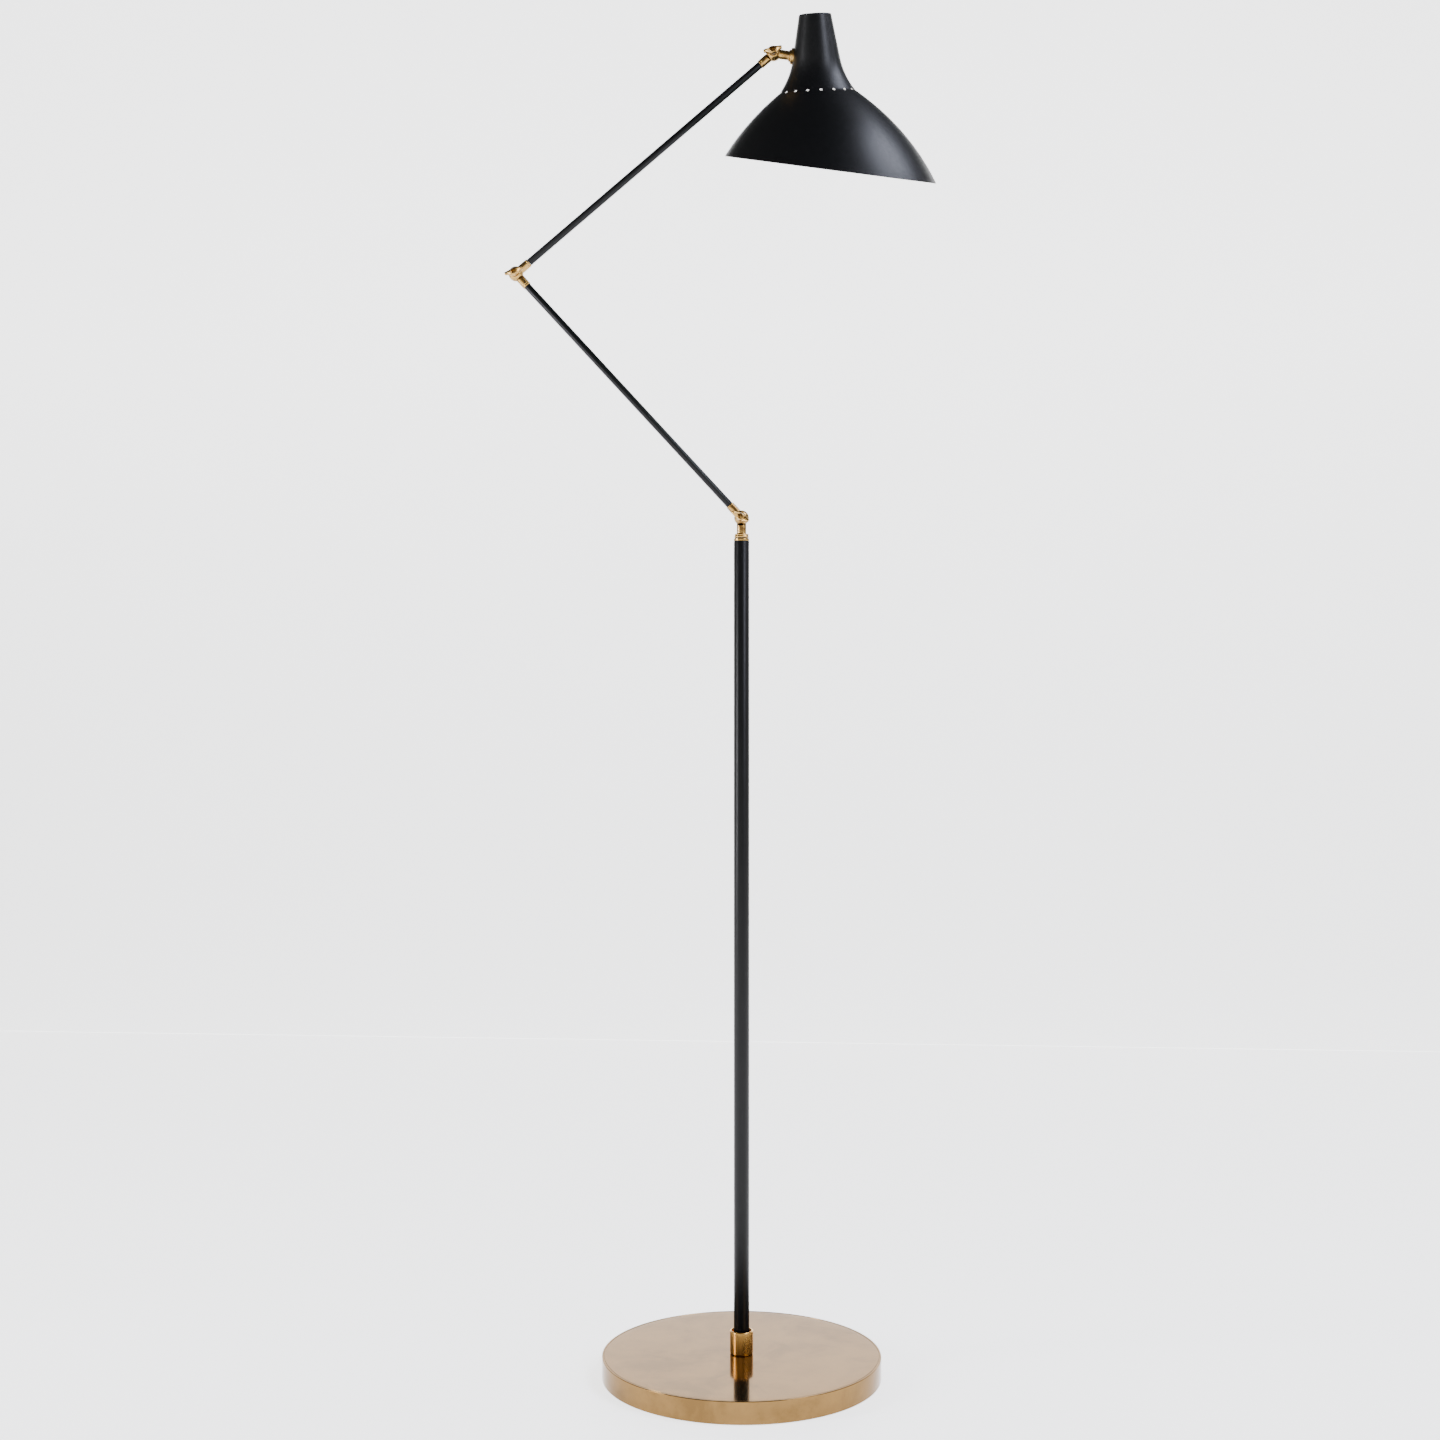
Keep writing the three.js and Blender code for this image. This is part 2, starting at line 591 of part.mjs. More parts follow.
function buildHead(tip) {
  const head = new THREE.Group();
  tip.add(head);
  const ringEnd = RING_START + RING_THICKNESS;
  const neck = alongX(turned([
    [0, NECK_START],
    [STEM_RADIUS, NECK_START],
    [STEM_RADIUS - 0.3, RING_START],
    [RING_RADIUS - 0.6, RING_START],
    [RING_RADIUS, RING_START + 0.6],
    [RING_RADIUS, ringEnd],
    [0, ringEnd],
  ]));
  const socket = alongX(disc(PIPE_RADIUS + GAP, 12, 40, 12));
  piece('head_stem', cut(knuckleHalf(-1, neck, wireBore), socket), antiqueBrass, head);
  const pipeEnd = WALL_REACH + 7.6;
  piece('head_pipe', alongX(tube(PIPE_RADIUS, PIPE_BORE, 12 + GAP, pipeEnd, 12)), steel, head);
  const washerLow = WALL_REACH + 3.8;
  const nutLow = washerLow + 1 + GAP;
  const springWasher = tube(6.6, PIPE_RADIUS + GAP, washerLow, washerLow + 1);
  piece('head_spring_washer', alongX(springWasher), steel, head);
  piece('head_lock_nut', alongX(hexNut(6.6, PIPE_RADIUS + GAP, nutLow, pipeEnd - 0.2)), steel, head);

  const roll = new THREE.Group();
  roll.rotation.x = rad(SHADE_ROLL);
  head.add(roll);
  const shade = new THREE.Group();
  shade.rotation.y = rad(-WALL_ANGLE);
  roll.add(shade);
  // The shade's top, so that the neck's wall crosses the stem's axis at WALL_REACH.
  const up = v2(-Math.sin(rad(WALL_ANGLE)), Math.cos(rad(WALL_ANGLE)));
  const out = v2(up.y, -up.x);
  shade.position.x = WALL_REACH + out.x * neckRadius + up.x * WALL_DEPTH;
  shade.position.z = out.y * neckRadius + up.y * WALL_DEPTH;

  const flangeBlank = alongX(turned([
    [PIPE_RADIUS + GAP, ringEnd + GAP],
    [FLANGE_RADIUS - 0.5, ringEnd + GAP],
    [FLANGE_RADIUS, ringEnd + GAP + 0.5],
    [FLANGE_RADIUS, WALL_REACH + 6],
    [PIPE_RADIUS + GAP, WALL_REACH + 6],
  ]));
  const neckSolid = shadeFull(GAP);
  neckSolid.rotateY(rad(-WALL_ANGLE)).translate(shade.position.x, 0, shade.position.z);
  piece('shade_flange', cut(flangeBlank, neckSolid), antiqueBrass, roll);
  piece('shade_shell', buildShadeShell(), satinBlack, shade);
  piece('lampholder_bracket', bracket(), steel, shade);
  lampholder(shade);
  return head;
}

// ---------------------------------------------------------------- assembly
const lamp = new THREE.Group();
lamp.name = 'adjustable_arm_floor_lamp';
const nippleLow = buildBase(lamp);
const swivel = buildSwivel(lamp, buildPole(lamp, nippleLow));

const lower = buildArm('lower_arm', swivel, 'root', 'elbow');
lower.arm.rotation.y = rad(-LOWER_ARM_ANGLE);
const upper = buildArm('upper_arm', lower.tip, 'elbow', 'head');
upper.arm.rotation.y = rad(LOWER_ARM_ANGLE - UPPER_ARM_ANGLE);
const head = buildHead(upper.tip);
head.rotation.y = rad(UPPER_ARM_ANGLE - STEM_ANGLE);
addWingNut('elbow', ELBOW_NUT_ANGLE - LOWER_ARM_ANGLE, lower.tip);
addWingNut('head', HEAD_NUT_ANGLE - UPPER_ARM_ANGLE, upper.tip);

export default lamp;
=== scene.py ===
"""Adjustable arm floor lamp: the looks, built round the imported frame. Metres, +Z up, front is -Y.

Sections for turned pieces are in millimetres, as [radius, height]."""
import json
import math

import bmesh
import bpy
from mathutils import Matrix, Vector


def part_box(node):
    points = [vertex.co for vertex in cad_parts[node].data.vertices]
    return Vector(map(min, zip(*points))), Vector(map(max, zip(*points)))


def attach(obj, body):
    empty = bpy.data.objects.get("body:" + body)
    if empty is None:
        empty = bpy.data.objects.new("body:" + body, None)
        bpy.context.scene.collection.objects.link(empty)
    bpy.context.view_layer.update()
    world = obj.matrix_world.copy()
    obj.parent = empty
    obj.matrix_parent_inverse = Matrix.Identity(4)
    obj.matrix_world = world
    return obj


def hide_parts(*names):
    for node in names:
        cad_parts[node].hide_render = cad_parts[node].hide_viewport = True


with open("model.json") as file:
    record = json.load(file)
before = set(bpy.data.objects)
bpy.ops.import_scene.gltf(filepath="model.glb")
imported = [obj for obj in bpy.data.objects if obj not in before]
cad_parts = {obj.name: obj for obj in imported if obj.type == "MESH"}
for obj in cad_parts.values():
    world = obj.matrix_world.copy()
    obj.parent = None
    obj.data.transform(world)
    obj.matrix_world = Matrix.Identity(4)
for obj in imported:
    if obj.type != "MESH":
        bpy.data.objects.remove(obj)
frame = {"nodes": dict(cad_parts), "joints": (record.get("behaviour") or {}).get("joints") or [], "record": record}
scene = bpy.context.scene
mm = 0.001

# ---------------------------------------------------------------- camera
camera_data = bpy.data.cameras.new("camera")
camera_data.lens = 48.6
camera_data.sensor_width = 36
camera = bpy.data.objects.new("camera", camera_data)
camera.location = (0.1619, -2.1210, 0.7168)
camera.rotation_euler = (math.radians(90), 0, math.radians(5))
scene.collection.objects.link(camera)
scene.camera = camera

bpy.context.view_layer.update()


# ---------------------------------------------------------------- shader helpers
class Look:
    """One procedural material. Its textures run in the piece's own coordinates, in metres."""

    def __init__(self, name):
        self.material = bpy.data.materials.new(name)
        self.material.use_nodes = True
        self.tree = self.material.node_tree
        self.shader = self.tree.nodes["Principled BSDF"]
        self.place = self.tree.nodes.new("ShaderNodeTexCoord").outputs["Object"]
        self.normal = None

    def put(self, socket, value):
        """Links a socket to another node's output, or sets its value."""
        if isinstance(value, bpy.types.NodeSocket):
            self.tree.links.new(value, socket)
        else:
            socket.default_value = value

    def node(self, kind, inputs=None, **settings):
        made = self.tree.nodes.new(kind)
        for key, value in settings.items():
            setattr(made, key, value)
        for key, value in (inputs or {}).items():
            self.put(made.inputs[key], value)
        return made

    def stretch(self, scale):
        mapping = self.node("ShaderNodeMapping", {"Vector": self.place, "Scale": scale})
        return mapping.outputs["Vector"]

    def noise(self, scale, detail=4.0, rough=0.55, warp=0.0, place=None):
        made = self.node("ShaderNodeTexNoise", {
            "Vector": place or self.place, "Scale": scale, "Detail": detail,
            "Roughness": rough, "Distortion": warp})
        return made.outputs["Fac"]

    def cells(self, scale):
        made = self.node("ShaderNodeTexVoronoi", {"Vector": self.place, "Scale": scale})
        return made.outputs["Distance"]

    def span(self, value, low, high, to_low=0.0, to_high=1.0):
        """Stretches low..high to to_low..to_high, and holds what is outside."""
        made = self.node("ShaderNodeMapRange", {
            "Value": value, "From Min": low, "From Max": high, "To Min": to_low, "To Max": to_high})
        made.clamp = True
        return made.outputs["Result"]

    def ramp(self, value, *stops):
        made = self.node("ShaderNodeValToRGB", {"Fac": value})
        ramp = made.color_ramp
        while len(ramp.elements) < len(stops):
            ramp.elements.new(0.5)
        for element, (at, colour) in zip(ramp.elements, stops):
            element.position = at
            element.color = (*colour, 1)
        return made.outputs["Color"]

    def mix(self, share, first, second):
        """Mixes two colours. A Mix node has several sockets of each name, so they go by number."""
        made = self.node("ShaderNodeMix", data_type="RGBA")
        for at, value in ((0, share), (6, first), (7, second)):
            self.put(made.inputs[at], (*value, 1) if isinstance(value, tuple) else value)
        return made.outputs[2]

    def combine(self, operation, first, second):
        made = self.node("ShaderNodeMath", operation=operation)
        self.put(made.inputs[0], first)
        self.put(made.inputs[1], second)
        return made.outputs[0]

    def add(self, first, second):
        return self.combine("ADD", first, second)

    def times(self, first, second):
        return self.combine("MULTIPLY", first, second)

    def bump(self, height, strength, depth):
        inputs = {"Height": height, "Strength": strength, "Distance": depth}
        if self.normal is not None:
            inputs["Normal"] = self.normal
        self.normal = self.node("ShaderNodeBump", inputs).outputs["Normal"]
        self.put(self.shader.inputs["Normal"], self.normal)

    def set(self, **values):
        """Sets the shader's inputs, named as in base_color for Base Color."""
        for key, value in values.items():
            name = key.replace("_", " ").title().replace("Ior", "IOR")
            if isinstance(value, tuple):
                value = (*value, 1)
            self.put(self.shader.inputs[name], value)
        return self.material


# ---------------------------------------------------------------- materials
def antique_brass(name, gold, umber, dark, patch, rough, coat, relief=1.0, spots=0.35, **extra):
    """Rubbed brass: bright metal, darker toning in patches, dark specks, fine rub marks and lacquer.

    patch is the number of patches in a metre, and rough the roughness of bright and of toned metal."""
    look = Look(name)
    bright = tuple(min(channel * 1.13, 1) for channel in gold)
    cloud = look.noise(patch, 5, 0.6, 0.6)
    fine = look.noise(patch * 6, 4, 0.6)
    toned = look.add(look.span(cloud, 0.34, 0.66), look.span(fine, 0.3, 0.7, -0.16, 0.16))
    metal = look.ramp(toned, (0.08, umber), (0.5, gold), (0.95, bright))
    specks = look.span(look.noise(patch * 11, 2, 0.5), 0.60, 0.72)
    colour = look.mix(look.times(specks, spots), metal, dark)
    worn = look.add(toned, look.times(specks, -0.4))
    rubbed = look.noise(patch * 9, 3, 0.5, 0, look.stretch((1, 1, 9)))
    look.bump(rubbed, 0.06 * relief, 0.03 * mm)
    look.bump(fine, 0.05 * relief, 0.05 * mm)
    return look.set(base_color=colour, metallic=1.0, coat_weight=coat, coat_roughness=0.06,
                    roughness=look.span(worn, -0.2, 1.1, rough[1], rough[0]), **extra)


def satin_black(name):
    """Fine satin powder coat over steel."""
    look = Look(name)
    broad = look.noise(9, 3, 0.5)
    grain = look.noise(1500, 2, 0.5)
    peel = look.noise(300, 3, 0.5)
    dust = look.span(look.noise(900, 2, 0.6), 0.70, 0.78)
    tone = look.ramp(broad, (0.3, (0.0016, 0.0016, 0.0019)), (0.7, (0.0026, 0.0026, 0.0030)))
    colour = look.mix(look.times(dust, 0.25), tone, (0.02, 0.02, 0.021))
    rough = look.add(look.span(peel, 0.3, 0.7, 0.33, 0.40), look.span(broad, 0.3, 0.7, -0.02, 0.03))
    look.bump(peel, 0.10, 0.08 * mm)
    look.bump(grain, 0.14, 0.02 * mm)
    return look.set(base_color=colour, roughness=rough, specular_ior_level=0.19)


def plain(name, dark, light, scale, rough, metal=0.0, grain=0.1, depth=0.03, stretch=None):
    """A two-tone finish with fine grain. depth is the grain's, in millimetres."""
    look = Look(name)
    place = look.stretch(stretch) if stretch else None
    broad = look.noise(scale, 5, 0.6, 0.3, place)
    fine = look.noise(scale * 8, 3, 0.55, 0, place)
    tone = look.add(look.times(broad, 0.7), look.times(fine, 0.3))
    look.bump(fine, grain, depth * mm)
    return look.set(base_color=look.ramp(tone, (0.32, dark), (0.68, light)), metallic=metal,
                    roughness=look.span(broad, 0.3, 0.7, *rough))


def felt(name):
    look = Look(name)
    fibres = look.noise(1400, 4, 0.7, 2.5)
    tufts = look.cells(700)
    colour = look.ramp(look.add(fibres, look.times(tufts, 0.4)),
                       (0.3, (0.008, 0.008, 0.009)), (0.9, (0.045, 0.045, 0.048)))
    look.bump(fibres, 0.7, 0.4 * mm)
    return look.set(base_color=colour, roughness=0.95, sheen_weight=0.3)


def white_enamel(name):
    """The shade's white inside: sprayed enamel with a light orange peel."""
    look = Look(name)
    broad = look.noise(14, 3, 0.5)
    peel = look.noise(420, 3, 0.5)
    colour = look.ramp(broad, (0.3, (0.80, 0.785, 0.75)), (0.7, (0.88, 0.87, 0.845)))
    look.bump(peel, 0.15, 0.08 * mm)
    return look.set(base_color=colour, roughness=look.span(peel, 0.3, 0.7, 0.42, 0.55))


def frosted_glass(name):
    look = Look(name)
    frost = look.noise(900, 4, 0.6)
    haze = look.noise(30, 3, 0.5)
    colour = look.ramp(haze, (0.3, (0.86, 0.85, 0.82)), (0.7, (0.94, 0.935, 0.92)))
    look.bump(frost, 0.15, 0.03 * mm)
    return look.set(base_color=colour, roughness=look.span(frost, 0.3, 0.7, 0.25, 0.4),
                    subsurface_weight=0.4, subsurface_scale=0.004)


def studio_paper(name):
    """Glows a little, so that the floor and backdrop stay pale in a dim studio."""
    look = Look(name)
    tone = look.ramp(look.noise(3, 4, 0.5), (0.3, (0.90, 0.90, 0.90)), (0.7, (0.93, 0.93, 0.93)))
    look.bump(look.noise(700, 3, 0.5), 0.05, 0.05 * mm)
    return look.set(base_color=tone, roughness=0.75, specular_ior_level=0.2,
                    emission_color=(1.0, 1.0, 1.0), emission_strength=2.2)


BRASS = antique_brass("antique_brass", gold=(0.40, 0.242, 0.072), umber=(0.19, 0.103, 0.029),
                      dark=(0.045, 0.02, 0.006), patch=90, rough=(0.20, 0.34), coat=0.15)
BLACK = satin_black("satin_black_paint")
STEEL = plain("plated_steel", (0.42, 0.43, 0.45), (0.66, 0.67, 0.68), 260, (0.22, 0.36), 1.0,
              stretch=(1, 1, 5))
IRON = plain("cast_iron", (0.025, 0.024, 0.024), (0.10, 0.095, 0.09), 120, (0.6, 0.85), 0.7,
             grain=0.6, depth=0.5)
NYLON = plain("black_nylon", (0.010, 0.010, 0.011), (0.022, 0.022, 0.023), 400, (0.4, 0.55))
PHENOLIC = plain("phenolic", (0.012, 0.008, 0.006), (0.03, 0.019, 0.013), 300, (0.22, 0.36))
SOCKET = plain("socket_brass", (0.50, 0.34, 0.13), (0.78, 0.58, 0.28), 240, (0.22, 0.36), 1.0)
CAP = plain("bulb_cap_metal", (0.50, 0.49, 0.46), (0.74, 0.73, 0.70), 240, (0.22, 0.36), 1.0)
BULB_WHITE = plain("bulb_white", (0.74, 0.74, 0.72), (0.86, 0.86, 0.84), 90, (0.38, 0.5))
FROSTED = frosted_glass("bulb_frosted")
LEAD = plain("lead_insulation", (0.62, 0.58, 0.50), (0.78, 0.74, 0.66), 300, (0.45, 0.6))
BASE_BRASS = antique_brass("base_brass", gold=(0.190, 0.109, 0.036), umber=(0.150, 0.084, 0.027),
                           dark=(0.10, 0.052, 0.018), patch=15, rough=(0.10, 0.15), coat=0.08,
                           relief=0.25, spots=0.08, specular_tint=(0.80, 0.76, 0.73))
COLLAR_BRASS = antique_brass("collar_brass", gold=(0.66, 0.37, 0.10), umber=(0.57, 0.31, 0.082),
                             dark=(0.20, 0.10, 0.028), patch=25, rough=(0.25, 0.30), coat=0.15,
                             relief=0.06, spots=0.04)
ENAMEL = white_enamel("shade_white_enamel")

looks = {
    "antique_brass": BRASS, "satin_black_paint": BLACK, "plated_steel": STEEL, "cast_iron": IRON,
    "felt": felt("felt"), "black_nylon": NYLON, "phenolic": PHENOLIC, "socket_brass": SOCKET,
    "bulb_cap_metal": CAP, "bulb_white": BULB_WHITE, "bulb_frosted": FROSTED, "lead_insulation": LEAD,
}

# ---------------------------------------------------------------- the frame's own pieces
for part in frame["record"]["subparts"]:
    node = frame["nodes"].get(part["node"])
    if node is not None:
        node.data.materials.clear()
        node.data.materials.append(looks[part["material_slot"]])


# ---------------------------------------------------------------- mesh helpers
def steps(start, end, count):
    """Values from start to end in equal steps, both ends included."""
    return [start + (end - start) * i / count for i in range(count + 1)]


def rounded(points, radius, count=4):
    """A section with every inner corner of the open line filleted."""
    line = [Vector(point) for point in points]
    result = [line[0]]
    for before, corner, after in zip(line, line[1:], line[2:]):
        reach = min(radius, (before - corner).length * 0.45, (after - corner).length * 0.45)
        start = corner + (before - corner).normalized() * reach
        end = corner + (after - corner).normalized() * reach
        for t in steps(0, 1, count):
            result.append(start * (1 - t) ** 2 + corner * 2 * t * (1 - t) + end * t * t)
    result.append(line[-1])
    return result


def add_lathe(mesh, section, matrix, sides=64):
    """Turns a section about the matrix's +Z axis. One that starts off the axis closes on itself."""
    on_axis = 1e-6
    rings = []
    for radius, height in section:
        if radius < on_axis:
            rings.append([mesh.verts.new(matrix @ Vector((0, 0, height * mm)))])
            continue
        ring = []
        for i in range(sides):
            angle = 2 * math.pi * i / sides
            spot = Vector((radius * math.cos(angle) * mm, radius * math.sin(angle) * mm, height * mm))
            ring.append(mesh.verts.new(matrix @ spot))
        rings.append(ring)
    pairs = list(zip(rings, rings[1:]))
    if section[0][0] > on_axis:
        pairs.append((rings[-1], rings[0]))
    for first, second in pairs:
        for i in range(sides):
            a, b = first[i % len(first)], first[(i + 1) % len(first)]
            c, d = second[(i + 1) % len(second)], second[i % len(second)]
            corners = list(dict.fromkeys((a, b, c, d)))
            if len(corners) > 2:
                mesh.faces.new(corners)


def finish_mesh(name, mesh, *materials):
    bmesh.ops.recalc_face_normals(mesh, faces=mesh.faces[:])
    data = bpy.data.meshes.new(name)
    mesh.to_mesh(data)
    mesh.free()
    for material in materials:
        data.materials.append(material)
    made = bpy.data.objects.new(name, data)
    scene.collection.objects.link(made)
    return made


def smooth(made, angle=35):
    data = made.data
    data.polygons.foreach_set("use_smooth", [True] * len(data.polygons))
    data.set_sharp_from_angle(angle=math.radians(angle))


def settle(made):
    """Applies an object's modifiers."""
    bpy.context.view_layer.update()
    data = bpy.data.meshes.new_from_object(made.evaluated_get(bpy.context.evaluated_depsgraph_get()))
    made.modifiers.clear()
    made.data = data


def carve(made, cutter):
    """Cuts one object with another, and removes the cutter."""
    change = made.modifiers.new("carve", "BOOLEAN")
    change.operation = "DIFFERENCE"
    change.solver = "EXACT"
    change.object = cutter
    settle(made)
    bpy.data.objects.remove(cutter)


def turned(name, section, matrix, material, sides=64):
    mesh = bmesh.new()
    add_lathe(mesh, section, matrix, sides)
    return finish_mesh(name, mesh, material)


def drill(made, radius, low, high, matrix, sides=32):
    """Cuts a bore, from low to high in millimetres, about the matrix's +Z axis. Six sides make a hexagon."""
    section = [(0, low), (radius, low), (radius, high), (0, high)]
    carve(made, turned("drill", section, matrix, made.data.materials[0], sides))


def show(made, body, slot, *nodes, angle=35):
    """Puts a finished piece on its body, in place of the frame's nodes."""
    smooth(made, angle)
    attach(made, body)
    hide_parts(*nodes)


def melt(made, voxel, rounds):
    """Fuses a piece's solids into one casting with softly filleted edges."""
    remesh = made.modifiers.new("melt", "REMESH")
    remesh.mode = "VOXEL"
    remesh.voxel_size = voxel * mm
    soften = made.modifiers.new("soften", "SMOOTH")
    soften.factor = 0.5
    soften.iterations = rounds
    settle(made)


# ---------------------------------------------------------------- axes of the joints
joints = {joint["name"]: joint for joint in frame["joints"]}
hinge_low = Vector(joints["lower_tilt"]["pos_m"])
hinge_elbow = Vector(joints["elbow_tilt"]["pos_m"])
hinge_head = Vector(joints["head_tilt"]["pos_m"])
stem_axis = Vector(joints["shade_roll"]["axis"]).normalized()


def frame_at(origin, along):
    """Frame with +X along a neck and +Y along the hinges."""
    along = along.normalized()
    sideways = Vector((0, 1, 0))
    matrix = Matrix((along, sideways, along.cross(sideways))).transposed().to_4x4()
    return Matrix.Translation(origin) @ matrix


upright = Matrix.Identity(4)
along_x = Matrix.Rotation(math.radians(90), 4, "Y")       # a lathe's +Z becomes +X
along_y = Matrix.Rotation(math.radians(-90), 4, "X")      # and +Y

lower_frame = frame_at(hinge_low, hinge_elbow - hinge_low)
lower_end = frame_at(hinge_elbow, hinge_low - hinge_elbow)
upper_frame = frame_at(hinge_elbow, hinge_head - hinge_elbow)
upper_end = frame_at(hinge_head, hinge_elbow - hinge_head)
swivel_frame = frame_at(hinge_low, Vector((0, 0, -1)))
head_frame = frame_at(hinge_head, stem_axis)
arm_length = (hinge_head - hinge_elbow).length / mm


def heights(name):
    """A node's lowest and highest point, in millimetres."""
    return [corner.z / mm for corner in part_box(name)]


def level_behind(name):
    """Frame at a node's middle height with a lathe's +Z towards the back, and the node's back end."""
    low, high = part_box(name)
    return Matrix.Translation((0, 0, (low.z + high.z) / 2)) @ along_y, high.y / mm


# ---------------------------------------------------------------- knuckles
BALL = 8.2
FACE = 6.6                # flat end of the ball, from its middle
SLIT = 0.4                # half the gap between the ball's halves
BOLT = 2.0
PLAY = 0.2                # round the bolt
BEYOND = 20               # cutters end well outside the ball
FERRULE = 4.75
FERRULE_END = 19.0        # from the hinge
STEM = 5.2
RING_START = 17.0
RING_END = 19.2
GROOVE = 0.35


def ball_half(side):
    """Section of one half of the ball, turned about the hinge, from its flat face to the slit."""
    edge = math.asin(SLIT / BALL)
    arc = [(BALL * math.cos(a), BALL * math.sin(a) * side) for a in steps(math.asin(FACE / BALL), edge, 24)]
    inner = SLIT * side * 0.6
    return [(0, FACE * side), *arc, (BALL * math.cos(edge) - GROOVE, inner), (0, inner)]


def knuckle(name, matrix, side, neck, body, replaced):
    """Half a ball with its neck, cast in one piece. side is the half's side of the slit, along +Y."""
    made = turned(name, neck, matrix @ along_x, BRASS)
    wide, far, near = BALL + GROOVE, -BEYOND * side, SLIT * side
    room = [(0, far), (wide, far), (wide, near), (0, near)]
    carve(made, turned("room", room, matrix @ along_y, BRASS, 96))
    mesh = bmesh.new()
    mesh.from_mesh(made.data)
    add_lathe(mesh, ball_half(side), matrix @ along_y)
    bmesh.ops.recalc_face_normals(mesh, faces=mesh.faces[:])
    mesh.to_mesh(made.data)
    mesh.free()
    melt(made, 0.22, 3)
    drill(made, BOLT + PLAY, -BEYOND, BEYOND, matrix @ along_y)
    show(made, body, "antique_brass", replaced, angle=50)


ferrule = [(0, 2), (FERRULE, 2), (FERRULE, 16.4), (FERRULE - GROOVE, 16.6), (FERRULE - GROOVE, 17.0),
           (FERRULE, 17.2), (FERRULE, 18.5), (FERRULE - 0.5, FERRULE_END), (0, FERRULE_END)]
knuckle("lower_root_ball", lower_frame, -1, ferrule, "lower_arm", "lower_arm_root_knuckle")
knuckle("lower_elbow_ball", lower_end, 1, ferrule, "lower_arm", "lower_arm_elbow_knuckle")
knuckle("upper_elbow_ball", upper_frame, -1, ferrule, "upper_arm", "upper_arm_elbow_knuckle")
knuckle("upper_head_ball", upper_end, 1, ferrule, "upper_arm", "upper_arm_head_knuckle")

bead_foot = hinge_low.z / mm - heights("swivel_knuckle")[0]
swivel_neck = [(0, 2), (STEM, 2), (STEM, bead_foot - 4.4), (7.4, bead_foot - 4.0), (7.9, bead_foot - 3.3),
               (7.4, bead_foot - 2.5), (7.6, bead_foot - 2.1), (8.3, bead_foot - 1.2),
               (7.9, bead_foot - 0.1), (0, bead_foot)]
knuckle("swivel_ball", swivel_frame, 1, swivel_neck, "swivel", "swivel_knuckle")
head_neck = [(0, 2), (STEM, 2), (STEM - 0.3, RING_START), (5.8, RING_START), (6.4, RING_START + 0.6),
             (6.4, RING_END - 0.4), (6.0, RING_END), (0, RING_END)]
knuckle("head_ball", head_frame, -1, head_neck, "head_stem", "head_stem")

# ---------------------------------------------------------------- hinge bolts and wing nuts
SEAT = FACE + 0.3         # where bolt heads and nuts bear, from the ball's middle


def bolt(name, matrix, body, replaced):
    """Button head behind with a hexagon socket, domed thread end in front."""
    low = -(FACE + 3.8)
    high = SEAT + 2.2
    shank = rounded([(0.2, low), (BOLT, low), (BOLT, SEAT)], 0.5)
    head = rounded([(BOLT, SEAT), (4.2, SEAT), (4.2, SEAT + 0.9), (2.6, high), (0.2, high)], 0.7)
    made = turned(name, [(0, low), *shank, *head, (0, high)], matrix @ along_y, BRASS, 48)
    drill(made, 1.5, high - 1.3, high + 1, matrix @ along_y, sides=6)
    show(made, body, "antique_brass", replaced)


bolt("lower_bolt", swivel_frame, "swivel", "lower_hinge_bolt")
bolt("elbow_bolt", lower_end, "lower_arm", "elbow_hinge_bolt")
bolt("head_bolt", upper_end, "upper_arm", "head_hinge_bolt")

WING_START = 1.5          # inside the hub
WING_REACH = 10.2
WING_FOOT = 1.3           # a wing's lower edge at the hub, from the seat
WING_ROOT = 5.4           # its upper edge at the hub
WING_TIP = 9.6            # and at the tip
WING_RINGS = 12
WING_SIDES = 20
SQUARENESS = 0.7          # of a wing's section, where 1 is an ellipse


def wing(mesh, side, turn):
    """One flat wing that rises, flares and thins towards its tip."""
    rings = []
    for t in steps(0, 1, WING_RINGS):
        x = side * (WING_START + (WING_REACH - WING_START) * t)
        low = WING_FOOT + 3.6 * t * t * (3 - 2 * t)
        high = WING_ROOT + (WING_TIP - WING_ROOT) * math.sin(t * math.pi / 2) ** 1.4 - 5 * max(0, t - 0.9)
        thick = 3.3 * (1 - t) ** 1.25 + 1.15 + 0.45 * t
        ring = []
        for k in range(WING_SIDES):
            angle = 2 * math.pi * k / WING_SIDES
            across, tall = (math.copysign(abs(value) ** SQUARENESS, value)
                            for value in (math.cos(angle), math.sin(angle)))
            depth = (low + high) / 2 + (high - low) / 2 * tall
            spot = Vector((x, -(SEAT + depth), thick * across)) * mm
            ring.append(mesh.verts.new(turn @ spot))
        rings.append(ring)
    for first, second in zip(rings, rings[1:]):
        for k in range(WING_SIDES):
            after = (k + 1) % WING_SIDES
            mesh.faces.new((first[k], first[after], second[after], second[k]))
    mesh.faces.new(rings[0])
    mesh.faces.new(rings[-1])


